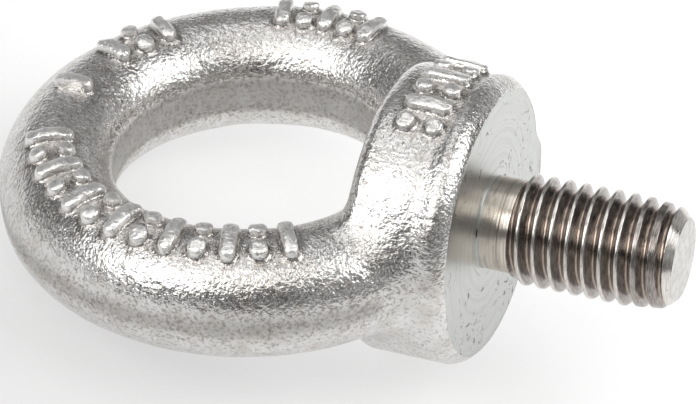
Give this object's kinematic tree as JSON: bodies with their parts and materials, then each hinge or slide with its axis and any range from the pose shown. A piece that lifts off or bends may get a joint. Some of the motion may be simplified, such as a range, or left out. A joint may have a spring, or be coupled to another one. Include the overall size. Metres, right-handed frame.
{
  "type": "lifting eye bolt",
  "caption": "One-piece lifting eye bolt: a thick round eye on a flat-faced collar, with a relief neck and a coarse metric threaded shank.",
  "frame": {"origin": "centre of the machined seat face under the collar, on the thread's axis", "axes": "+X out along the thread, the eye lies in the XY plane behind the collar, +Z square to the eye"},
  "size_m": [0.0735, 0.0536, 0.0313],
  "materials": {
    "cast_steel": "bright stainless forging with a fine blasted grain",
    "turned_steel": "turned stainless with concentric tool marks",
    "thread_steel": "cut stainless thread, slightly brown in the flanks"
  },
  "bodies": {
    "root": {"eye_ring": "cast_steel", "collar": "cast_steel", "relief_neck": "turned_steel", "threaded_shank": "thread_steel"}
  },
  "joints": []
}
